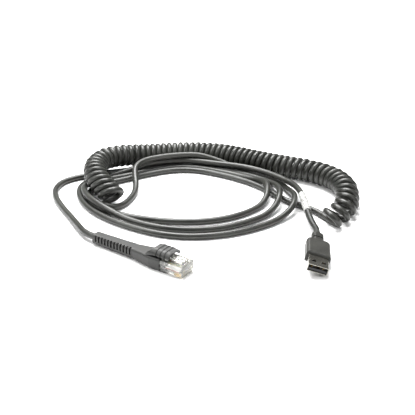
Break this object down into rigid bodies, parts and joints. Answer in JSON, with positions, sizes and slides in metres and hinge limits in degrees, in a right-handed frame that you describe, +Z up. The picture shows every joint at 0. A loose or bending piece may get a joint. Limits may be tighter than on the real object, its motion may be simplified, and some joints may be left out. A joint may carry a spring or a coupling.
{
  "type": "coiled scanner cable",
  "caption": "Coiled scanner cable with a clear modular plug in a slotted boot, a curly stretch, loops of straight cord, a wrap label and a USB-A plug.",
  "frame": {"origin": "on the table under the cable, midway between the two plugs", "axes": "+Z up from the table, +X from the modular plug toward the USB plug, +Y toward the loops and the curly stretch behind the plugs"},
  "size_m": [0.213, 0.1874, 0.022],
  "materials": {
    "cord_jacket": "satin PVC jacket",
    "boot_rubber": "matt moulded PVC",
    "usb_moulding": "fine spark-eroded texture",
    "clear_plastic": "clear polycarbonate",
    "gold": "gold plated",
    "conductor_insulation": "coloured insulation, one colour to a conductor",
    "nickel_steel": "nickel plated",
    "tongue_plastic": "moulded",
    "inner_plastic": "moulded",
    "label_film": "blank matt film"
  },
  "bodies": {
    "cable": {"scanner_boot": "boot_rubber", "modular_plug_body": "clear_plastic", "modular_contacts": "gold", "modular_wires": "conductor_insulation", "jacket_wedge": "clear_plastic", "scanner_jacket_end": "cord_jacket", "scanner_lead": "cord_jacket", "coil": "cord_jacket", "host_lead": "cord_jacket", "cord_label": "label_film", "usb_overmould": "usb_moulding", "usb_shell": "nickel_steel", "usb_tongue": "tongue_plastic", "usb_contacts": "gold", "usb_inner_mould": "inner_plastic", "usb_wires": "conductor_insulation", "usb_shield_clamp": "nickel_steel", "host_jacket_end": "cord_jacket"},
    "guard": {"latch_guard": "boot_rubber"},
    "latch": {"plug_latch": "clear_plastic"}
  },
  "joints": [
    {"name": "guard_press", "type": "hinge", "parent": "cable", "child": "guard", "pos_m": [-0.03478, -0.00383, 0.00825], "axis": [0.5707, 0.8211, 0], "range_deg": [0, 6], "stiffness_Nm_per_rad": 0.05},
    {"name": "latch_press", "type": "hinge", "parent": "cable", "child": "latch", "pos_m": [-0.01516, -0.01747, 0.00795], "axis": [0.5707, 0.8211, 0], "range_deg": [-7, 0], "stiffness_Nm_per_rad": 0.05}
  ],
  "couplings": [
    {"joint": "latch_press", "follows": "guard_press", "ratio": -1.15}
  ]
}
